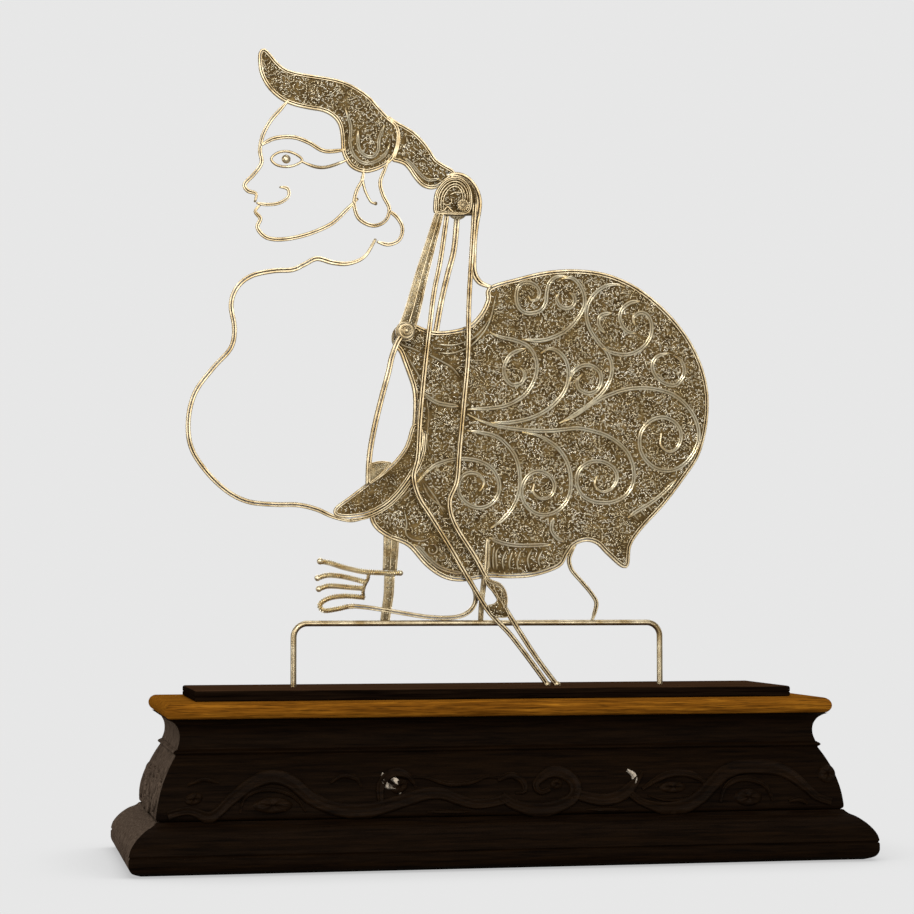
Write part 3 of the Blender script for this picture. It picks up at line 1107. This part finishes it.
def wires():
    """The figure's soldered outline wires: pairs of flattened wires with a groove between them."""
    plans = [
        ("belly_wire", belly_path, 1.9, 2 * FRAME), ("profile_wire", profile_path, 1.6, 1.8),
        ("jaw_wire", jaw_path, 1.6, 1.8), ("brow_wire", brow_path, 1.6, 1.8),
        ("mouth_wire", mouth_path, 1.3, 1.8), ("earring_wire", earring_path, 1.5, 1.8),
        ("back_wire", back_path, 2.3, 2 * FRAME),
        ("rear_leg_wire", rear_leg_path, 1.6, 2 * FRAME)]
    for name, path, width, depth in plans:
        work = Work()
        work.pair(even(path, 0.6), width, depth, share=0.58, ease=True)
        piece(name, work, wire_finish, FIGURE, [name])

    work = Work()
    work.pair(even(ear_path, 0.6), 1.5, 1.8, share=0.58, ease=True)
    work.tube(even(ear_curl_path, 0.5), lambda t: 1.2 - 0.3 * t, 1.5)
    work.bead((-41.8, 241.6), 0.75, 0.0)
    piece("ear_wire", work, wire_finish, FIGURE, ["ear_wire"])

    work = Work()
    work.tube(even(eye_path, 0.5, True), 1.0, 1.6, closed=True)
    work.tube(even(temple_path, 0.6), lambda t: 1.3 * ends(t, 0.3, 0.6), 1.5)
    piece("eye_wire", work, wire_finish, FIGURE, ["eye_wire"])
    work = Work()
    work.bead(eye_centre, 1.7, 0.0, 0.64, 16, 8)
    piece("eye_bead", work, wire_finish, FIGURE, ["eye_bead"])

    work = Work()
    for path in toe_paths:
        work.twist(even(path, 0.2), 2.3, 2.4, depth=2.2 * FRAME)
    for tip, r in ((toe_paths[0][0], 1.3), (toe_paths[1][0], 1.2), (toe_paths[2][0], 1.2),
                   (toe_paths[0][-1], 1.1)):
        work.bead(tip, r, 0.0)
    piece("toe_wires", work, stem_finish, FIGURE, ["toe_wires"])
    work = Work()
    work.twist(even(instep_path, 0.2), 1.5, 1.8, depth=2 * FRAME)
    piece("instep_wire", work, wire_finish, FIGURE, ["instep_wire"])
    work = Work()
    line = even(sole_path, 0.2)
    split = next(i for i, p in enumerate(line) if i > 60 and p[0] > -52)
    work.pair(even(line[split:], 0.6), 1.8, 2 * FRAME, share=0.58)
    piece("sole_wire", work, wire_finish, FIGURE, ["sole_wire"])
    work = Work()
    work.twist(line[:split + 12], 2.2, 2.4, depth=2.2 * FRAME)
    piece("lowest_toe_wire", work, stem_finish, FIGURE)


def rods():
    middle = (ROD_BACK + ROD_FRONT) / 2
    for name, path in (("rod_front", rod_front_path), ("rod_rear", rod_rear_path)):
        work = Work()
        work.pair(even(path, 0.8), 1.95, 1.8, y=middle, share=0.6)
        foot = path[-7]
        work.bead((foot[0], PLATE_TOP + 0.3), 1.3, middle, 0.8)
        piece(name, work, wire_finish, FIGURE, [name])
    ring = even(knuckle, 0.5, True)
    ground = KNUCKLE_FRONT + 0.75
    work = Work()
    work.slab(ring, ground, ROD_FRONT)
    piece("rod_knuckle_ground", work, recess_finish, FIGURE, ["rod_knuckle"])
    work = Work()
    front = KNUCKLE_FRONT + 0.6
    work.tube(offset(ring, -0.25, True), 0.5, 0.9, front, closed=True)
    cord = curve([(-1.2, 102), (1.4, 100.6), (4.2, 99), (6, 96.4), (6.5, 93.4), (6.2, 91)])
    work.twist(even(cord, 0.2), 1.7, 1.9, front, depth=1.2)
    work.tube(even(curve([(1.8, 99.4), (2.9, 96.6), (4.4, 94), (6.4, 90.6), (7.4, 88.4)]), 0.4), 0.6,
            0.9, front)
    work.tube(even(curve([(4.8, 97.6), (5, 95.2), (5.4, 92.6)]), 0.4), 0.4, 0.8, front)
    piece("rod_knuckle_wires", work, wire_finish, FIGURE)
    curls_at("rod_knuckle_curls", ring, ground - 0.1, True, FIGURE, 71, spacing=0.7, clearance=0.4)


# ---- filigree panels ----------------------------------------------------------------------

def framing(name, outline, width, y0, y1, body=FIGURE, node=None):
    """A frame of one stout and one thin wire round an outline given clockwise."""
    work = Work()
    ring = even(outline, 0.7, True)
    work.pair(ring, width, y1 - y0, (y0 + y1) / 2, closed=True, share=0.6)
    piece(name, work, wire_finish, body, [node] if node else [])


def laid_scrolls(name, paths, side, base, top, node=None, width=1.6, body=FIGURE):
    """Scrolls of two thin wires that draw together at their ends, laid on one face of a sheet."""
    work = Work()
    middle = side * (base + top) / 2
    for path in paths:
        line = even(path, 0.55)
        thin = width * 0.46
        for way in (-1, 1):
            work.tube(line, lambda t: thin * ends(t, 0.1, 0.6), top - base, middle, 6,
                      shift=lambda t, s, way=way: (way * (width - thin) / 2 * ends(t, 0.14, 0.35), 0.0))
    piece(name, work, stem_finish, body, [node] if node else [])


def panels():
    framing("robe_frame", robe_path, 1.9, -FRAME, FRAME, node="robe_frame")
    framing("crest_frame", crest_path, 1.6, -FRAME, FRAME, node="crest_frame")
    framing("nape_frame", nape_path, 1.6, -FRAME + 0.06, FRAME - 0.06, node="nape_frame")
    framing("flap_frame", flap_path, 1.5, FLAP_FRONT, -FRAME, node="flap_frame")
    work = Work()
    edge = curve([(-51, 123.4), (-43.9, 124.9), (-35.7, 129.7), (-28.5, 138.4), (-24.2, 147.2),
                  (-23.2, 155.8)])
    work.pair(even(edge, 0.6), 1.4, 1.4, -FRAME - 0.6, share=0.55)
    piece("flap_edge_wire", work, wire_finish, FIGURE)
    laid_scrolls("robe_scrolls_front", robe_scrolls, -1, SHEET, SCROLL_TOP, "robe_scrolls_front")
    laid_scrolls("robe_scrolls_back", robe_scrolls, 1, SHEET, SCROLL_TOP, "robe_scrolls_back")
    level = SHEET + 0.15
    rungs = [curve([(x, z), (x + long * 0.66, z - long * 0.75)], 2) for x, z, long in (
        (72.4, 137.4, 1.6), (70.2, 135.5, 1.9), (67.8, 133.6, 2.3), (65.2, 131.6, 2.8), (62.4, 129.8, 3.2),
        (59.6, 128.1, 3.4), (57, 126.4, 3.4))]
    bands = ((95, 126), (126, 143), (143, 160), (160, 180), (180, 225))
    for side, word in ((-1, "front"), (1, "back")):
        laid_scrolls("crest_scrolls_" + word, crest_scrolls + nape_scrolls, side, SHEET, SCROLL_TOP - 0.1,
                     width=1.3)
        fine_lines("robe_lines_" + word, robe_lines + fringe + rungs, side)
        laid = robe_scrolls + robe_lines + fringe + rungs
        for k, band in enumerate(bands):
            curls("robe_curls_%s_%d" % (word, k + 1), even(robe_path, 1.0, True), side * level, FIGURE,
                  11 + k + 9 * (side > 0), laid, band=band)
        curls("crest_curls_" + word, even(crest_path, 0.9, True), side * level, FIGURE, 41 + side,
              crest_scrolls)
        curls("nape_curls_" + word, even(nape_path, 0.9, True), side * level, FIGURE, 51 + side,
              nape_scrolls)
    flap_ground = FLAP_FRONT + 0.5
    curls_at("flap_curls", even(flap_path, 0.9, True), flap_ground - 0.12, True, FIGURE, 61, spacing=0.78,
             clearance=0.9)


def fine_lines(name, paths, side):
    """Single thin wires laid on one face of the robe."""
    work = Work()
    for path in paths:
        work.tube(even(path, 0.5), lambda t: 0.62 * ends(t, 0.2, 0.6), SCROLL_TOP - SHEET - 0.05,
                  side * (SHEET + SCROLL_TOP - 0.05) / 2, 6)
    piece(name, work, stem_finish, FIGURE)


def strip_outline(path, w0, w1):
    """The outline, clockwise, of a strip along a path."""
    one = offset(path, lambda t: (w0 + (w1 - w0) * t) / 2)
    two = offset(path, lambda t: -(w0 + (w1 - w0) * t) / 2)
    ring = one + two[::-1]
    area = sum(a[0] * b[1] - b[0] * a[1] for a, b in zip(ring, ring[1:] + ring[:1]))
    return ring if area < 0 else ring[::-1]


def strip_panel(name, path, w0, w1, y0, y1, body, seed, node, middle_wire=False):
    """A narrow filigree strip: dark ground, an edge wire on each side and curls between."""
    deep = y1 - y0
    mid = (y0 + y1) / 2
    path = even(path, 0.8)
    work = Work()
    work.slab(even(strip_outline(path, w0 - 0.4, w1 - 0.4), 0.8, True), mid - deep * 0.22, mid + deep * 0.22)
    piece(name + "_ground", work, pale_finish, body, [node])
    work = Work()
    edge = 0.9
    for way in (-1, 1):
        line = offset(path, lambda t: way * (w0 + (w1 - w0) * t - edge) / 2)
        work.pair(line, edge, deep, mid, share=0.5)
    laid = []
    if middle_wire:
        work.tube(path, 0.7, deep, mid)
        laid = [path]
    piece(name + "_edges", work, wire_finish, body)
    outline = even(strip_outline(path, w0 - 0.8, w1 - 0.8), 0.8, True)
    for y, word in ((mid - deep * 0.22 - 0.1, "front"), (mid + deep * 0.22 + 0.1, "back")):
        strip_curls(name + "_curls_" + word, outline, y, mid, body, seed, laid)


def strip_curls(name, outline, y, middle, body, seed, laid):
    """Curls on one face of a panel that doesn't stand on the figure's middle plane."""
    curls_at(name, outline, y, y < middle, body, seed, laid)


def curls_at(name, outline, y, front, body, seed, laid=(), spacing=0.7, clearance=0.35):
    made = curls(name, outline, -1.0 if front else 1.0, body, seed, laid, spacing, 0.30, 0.52, clearance)
    made.data.transform(Matrix.Translation((0, (y - (-1.0 if front else 1.0)) * MM, 0)))


def legs():
    strip_panel("shin_strip", shin_path, 6.0, 5.4, -SHEET, SHEET, FIGURE, 51, "shin_strip", True)
    strip_panel("ankle_strip", ankle_path, 4.0, 3.6, -SHEET, SHEET, FIGURE, 52, "ankle_strip")
    strip_panel("rear_shin_strip", even(rear_shin_path, 0.8)[18:], 2.2, 2.0, -SHEET, SHEET, FIGURE, 53,
                "rear_shin_strip")
    for side, word in ((-1, "front"), (1, "back")):
        work = Work()
        work.pair(even(rear_shin_path, 0.8)[:22], 2.0, 0.8, side * (SHEET + 0.35), share=0.4, ease=True)
        piece("rear_shin_top_" + word, work, wire_finish, FIGURE)


def shoulder_plate():
    work = Work()
    ring = even(loop(shoulder_outline, 3), 0.8, True)
    work.slab(ring, ROD_BACK, FRAME, 0.3)
    piece("shoulder_plate", work, recess_finish, FIGURE, ["shoulder_plate"])
    work = Work()
    work.twist(even(offset(ring, -0.5, True), 0.3, True), 1.0, 1.6, FRAME - 0.1, closed=True)
    work.twist(even(offset(ring, -0.5, True), 0.3, True), 1.0, 1.6, ROD_BACK + 0.1, closed=True)
    piece("shoulder_plate_rim", work, wire_finish, FIGURE)
    curls_at("shoulder_plate_curls", ring, FRAME + 0.05, False, FIGURE, 55, clearance=0.9)


# ---- arms ---------------------------------------------------------------------------------

def near_arm():
    mid = (ARM_BACK + ARM_FRONT) / 2
    ring = even(cap_path, 0.6, True)
    ground = ARM_FRONT + 0.6
    work = Work()
    work.slab(ring, ground, ARM_BACK)
    piece("near_shoulder_cap_ground", work, recess_finish, NEAR_UPPER, ["near_shoulder_cap"])
    work = Work()
    work.pair(offset(ring, -0.6, True), 1.2, 1.7, mid, closed=True, share=0.6)
    arch = [(-19.4, 238.4), (-19.6, 241.3), (-19.1, 244.6), (-17.8, 247.1), (-15.8, 249.1), (-13.3, 250.1),
            (-10.8, 249.6), (-9.1, 248.1), (-8, 245.8), (-7.8, 243)]
    for inset in (0.3, 1.3, 2.2):
        line = offset(even(curve(arch), 0.4), -inset)
        work.tube(line, lambda t: 0.6 * ends(t, 0.2, 0.5), 0.8, ARM_FRONT + 0.45)
    work.tube(even(curve([(-14.6, 244.8), (-12.8, 245.6), (-11, 245.5), (-9.7, 245.8), (-9, 244.6),
                          (-9.2, 243.4)]), 0.35), lambda t: 0.9 * ends(t, 0.25, 0.5), 0.95, ARM_FRONT + 0.45)
    work.tube(even(curve([(-18.4, 238.9), (-17.2, 238.7), (-15.8, 240.2), (-14.6, 239.2), (-13.4, 238.2)]),
                   0.35), 0.65, 0.8, ARM_FRONT + 0.45)
    work.tube(even(curve([(-17.8, 242.6), (-16.6, 240.8), (-14.4, 241.6), (-14.4, 243.4)]), 0.35), 0.5, 0.8,
              ARM_FRONT + 0.45)
    piece("near_shoulder_cap_wires", work, wire_finish, NEAR_UPPER)
    curls_at("near_shoulder_cap_curls", ring, ground - 0.12, True, NEAR_UPPER, 61, [curve(arch)],
             clearance=0.9)

    strip_panel("near_arm_strand", strand_path, 3.4, 6.6, ARM_FRONT, ARM_BACK, NEAR_UPPER, 62,
                "near_arm_strand", True)
    hub = circle(NEAR_ELBOW, 3.7)
    work = Work()
    work.slab(hub, ARM_FRONT + 0.3, ARM_BACK)
    piece("near_elbow_hub_ground", work, pale_finish, NEAR_UPPER)
    work = Work()
    work.pair(offset(hub, -0.5, True), 1.1, 1.7, mid, closed=True)
    piece("near_elbow_hub_wires", work, wire_finish, NEAR_UPPER)
    work = head_with_curl(NEAR_ELBOW, FOREARM_FRONT - 0.1, ARM_BACK, 2.35, FOREARM_FRONT - 1.1)
    piece("near_elbow_rivet", work, wire_finish, NEAR_UPPER, ["near_elbow_rivet"])

    deep = FOREARM_BACK - FOREARM_FRONT
    middle = (FOREARM_BACK + FOREARM_FRONT) / 2
    work = Work()
    line = [p for p in even(forearm_path, 0.6) if math.dist(p, NEAR_ELBOW) > 2.6]
    work.pair(line, 2.2, deep, middle, share=0.5)
    work.tube(circle(NEAR_ELBOW, 2.4), 2.0, deep, middle, 10, closed=True, square=0.7)
    piece("near_forearm", work, wire_finish, NEAR_LOWER, ["near_forearm"])
    hand(NEAR_LOWER, "near_hand", hand_path, FOREARM_FRONT, FOREARM_BACK, 64, ["near_hand"])


def circle(centre, r, count=40):
    """A ring of points, clockwise."""
    return [(centre[0] + r * math.cos(-2 * math.pi * k / count),
            centre[1] + r * math.sin(-2 * math.pi * k / count))
            for k in range(count)]


def head_with_curl(centre, y0, y1, r, y_top):
    """A rivet with a flat head, a wire curled up on it and a small dome in the middle."""
    work = rivet(centre, y0, y1, r, y0 + 0.45 * (y_top - y0))
    level = y0 + 0.5 * (y_top - y0)
    work.tube(even(curve(spiral(centre, 150, r - 0.35, -330, 1.2, 30)), 0.35), 0.55, 0.6, level)
    work.bead(centre, 1.0, level, abs(y_top - level) / 1.0, 16, 8)
    return work


def hand(body, name, outline, y0, y1, seed, nodes):
    """A small filigree hand: rim wire, three finger lines and curls on a dark ground."""
    ring = even(outline, 0.6, True)
    mid = (y0 + y1) / 2
    work = Work()
    work.slab(offset(ring, -0.3, True), mid - 0.4, mid + 0.4)
    piece(name + "_ground", work, pale_finish, body, nodes)
    work = Work()
    work.pair(offset(ring, -0.5, True), 1.0, y1 - y0, mid, closed=True)
    piece(name + "_rim", work, wire_finish, body)
    for front in (True, False):
        curls_at(name + ("_curls_front" if front else "_curls_back"), ring,
                mid - 0.45 if front else mid + 0.45,
                 front, body, seed, clearance=1.0)


def rivet(centre, y0, y1, head_r, head_y):
    """A pin with a domed head, ringed with beads."""
    work = Work()
    turned = [(y1, 0.0), (y1, RIVET_R - 0.1), (y1 - 0.1, RIVET_R), (y0, RIVET_R)]
    head = [(y0, head_r - 0.1)]
    for k in range(1, 7):
        a = math.radians(90 * k / 6)
        head.append((y0 + (head_y - y0) * math.sin(a), max(0.05, head_r * math.cos(a) * 0.98)))
    rings = []
    for y, r in turned[1:] + head:
        rings.append([(centre[0] + r * math.cos(2 * math.pi * k / 24), y,
                       centre[1] + r * math.sin(2 * math.pi * k / 24)) for k in range(24)])
    work.rings(rings)
    return work


def shoulder_rivet():
    work = head_with_curl(SHOULDER, ARM_FRONT - 0.1, FAR_ARM[1] + 0.1, 2.3, ARM_FRONT - 1.3)
    ring = circle(SHOULDER, 1.9, 14)
    for p in ring:
        work.bead(p, 0.42, ARM_FRONT - 0.75, 1.0, 8, 5)
    other = rivet(SHOULDER, FAR_ARM[1] + 0.1, ARM_FRONT, 2.3, FAR_ARM[1] + 1.0)
    first = len(work.verts)
    work.verts += other.verts
    work.faces += [tuple(first + i for i in face) for face in other.faces]
    piece("shoulder_rivet", work, wire_finish, FIGURE, ["shoulder_rivet"])


def far_arm():
    mid = sum(FAR_ARM) / 2
    work = Work()
    line = even(far_arm_path, 0.6)
    line = [p for p in line if math.dist(p, SHOULDER) > 2.6 and math.dist(p, FAR_ELBOW) > 1.2]
    work.pair(line, 2.3, 1.8, mid)
    for centre, r in ((SHOULDER, 2.6), (FAR_ELBOW, 2.3)):
        eye = [(centre[0] + r * math.cos(a), centre[1] + r * math.sin(a))
               for a in [-2 * math.pi * k / 36 for k in range(36)]]
        work.tube(eye, 2 * (r - 1.2), 1.8, mid, 10, closed=True, square=0.7)
    piece("far_upper_arm", work, wire_finish, FAR_UPPER, ["far_upper_arm"])
    piece("far_elbow_rivet", rivet(FAR_ELBOW, FAR_FOREARM[1] + 0.1, FAR_ARM[0], 2.3, FAR_FOREARM[1] + 0.9),
          wire_finish, FAR_UPPER, ["far_elbow_rivet"])
    mid = sum(FAR_FOREARM) / 2
    work = Work()
    line = [p for p in even(far_forearm_path, 0.6) if math.dist(p, FAR_ELBOW) > 2.4]
    work.pair(line, 2.4, 1.8, mid)
    eye = [(FAR_ELBOW[0] + 2.4 * math.cos(a), FAR_ELBOW[1] + 2.4 * math.sin(a))
           for a in [-2 * math.pi * k / 36 for k in range(36)]]
    work.tube(eye, 2.2, 1.8, mid, 10, closed=True, square=0.7)
    piece("far_forearm", work, wire_finish, FAR_LOWER, ["far_forearm"])
    hand(FAR_LOWER, "far_hand", far_hand_path, FAR_FOREARM[0], FAR_FOREARM[1], 66, [])


# ---- studio -------------------------------------------------------------------------------

def studio():
    """Camera, pale floor and soft light."""
    scene = bpy.context.scene
    scene.view_settings.view_transform = "Standard"

    camera = bpy.data.cameras.new("camera")
    camera.sensor_width = 36.0
    camera.lens = 94.5
    camera.clip_start = 0.01
    camera.clip_end = 50
    eye = bpy.data.objects.new("camera", camera)
    scene.collection.objects.link(eye)
    eye.location = (-0.190, -0.877, 0.0995)
    look = Vector((0.19994, 0.97836, 0.05321))
    eye.rotation_euler = look.to_track_quat("-Z", "Y").to_euler()
    scene.camera = eye

    floor = bpy.data.meshes.new("floor")
    sides, radius, low = 96, 9.0, -0.0002
    ring = [(radius * math.cos(2 * math.pi * k / sides), radius * math.sin(2 * math.pi * k / sides), low)
            for k in range(sides)]
    floor.from_pydata(ring, [], [tuple(range(sides))])
    ground = bpy.data.objects.new("floor", floor)
    scene.collection.objects.link(ground)
    floor.materials.append(paper_finish())

    world = bpy.data.worlds.new("studio")
    scene.world = world
    world.use_nodes = True
    nodes, links = world.node_tree.nodes, world.node_tree.links
    seen = nodes["Background"]
    seen.inputs["Color"].default_value = (PAPER, PAPER, PAPER, 1)
    dim = nodes.new("ShaderNodeBackground")
    dim.inputs["Color"].default_value = (1.0, 0.96, 0.90, 1)
    dim.inputs["Strength"].default_value = 0.34
    ray = nodes.new("ShaderNodeLightPath")
    either = nodes.new("ShaderNodeMixShader")
    links.new(ray.outputs["Is Camera Ray"], either.inputs[0])
    links.new(dim.outputs[0], either.inputs[1])
    links.new(seen.outputs[0], either.inputs[2])
    links.new(either.outputs[0], nodes["World Output"].inputs["Surface"])

    def softbox(name, where, aim, size, radiance, colour=(1, 1, 1)):
        """A soft light whose power gives its face that radiance."""
        light = bpy.data.lights.new(name, "AREA")
        light.shape = "RECTANGLE"
        light.size, light.size_y = size
        light.energy = radiance * math.pi * size[0] * size[1]
        light.color = colour
        obj = bpy.data.objects.new(name, light)
        scene.collection.objects.link(obj)
        obj.location = where
        obj.rotation_euler = (Vector(aim) - Vector(where)).to_track_quat("-Z", "Y").to_euler()
        obj.visible_camera = False

    softbox("front", (-0.1, -2.2, 0.6), (0, 0, 0.15), (1.8, 1.0), 2.9, (1.0, 0.97, 0.92))
    softbox("key", (-0.9, -1.7, 1.3), (0, 0, 0.15), (0.35, 0.35), 16.0, (1.0, 0.98, 0.94))
    softbox("left", (-1.7, -0.5, 0.5), (0, 0, 0.1), (0.5, 1.0), 4.2)
    softbox("top", (0.1, 0.1, 1.7), (0, 0, 0.1), (1.4, 1.0), 1.8)
    softbox("right", (1.9, 0.4, 0.8), (0, 0, 0.1), (0.6, 0.9), 1.8)
    softbox("back", (0.2, 2.2, 0.8), (0, 0, 0.15), (1.9, 1.1), 2.0)


def paper_finish():
    """Seen directly, the paper is as pale as the backdrop, a little darker where the plinth meets it."""
    f = Finish("studio_paper")
    f.set(Roughness=0.9, Specular_IOR_Level=0.1)
    f.colour(f.ramp(f.noise(3, 2), (0.3, 0.46), (0.7, 0.48)))
    shade = f.nodes.new("ShaderNodeAmbientOcclusion")
    shade.inputs["Distance"].default_value = 0.05
    glow = f.nodes.new("ShaderNodeEmission")
    f.join(f.ramp(shade.outputs["AO"], (0.35, PAPER * 0.62), (0.95, PAPER)), glow.inputs["Color"])
    ray = f.nodes.new("ShaderNodeLightPath")
    either = f.nodes.new("ShaderNodeMixShader")
    f.join(ray.outputs["Is Camera Ray"], either.inputs[0])
    f.join(f.shader.outputs[0], either.inputs[1])
    f.join(glow.outputs[0], either.inputs[2])
    f.join(either.outputs[0], f.nodes["Material Output"].inputs["Surface"])
    return f.material


# ---- build --------------------------------------------------------------------------------

bead_and_foot()
frieze_carving()
boards()
stand()
wires()
rods()
panels()
legs()
shoulder_plate()
near_arm()
shoulder_rivet()
far_arm()
studio()
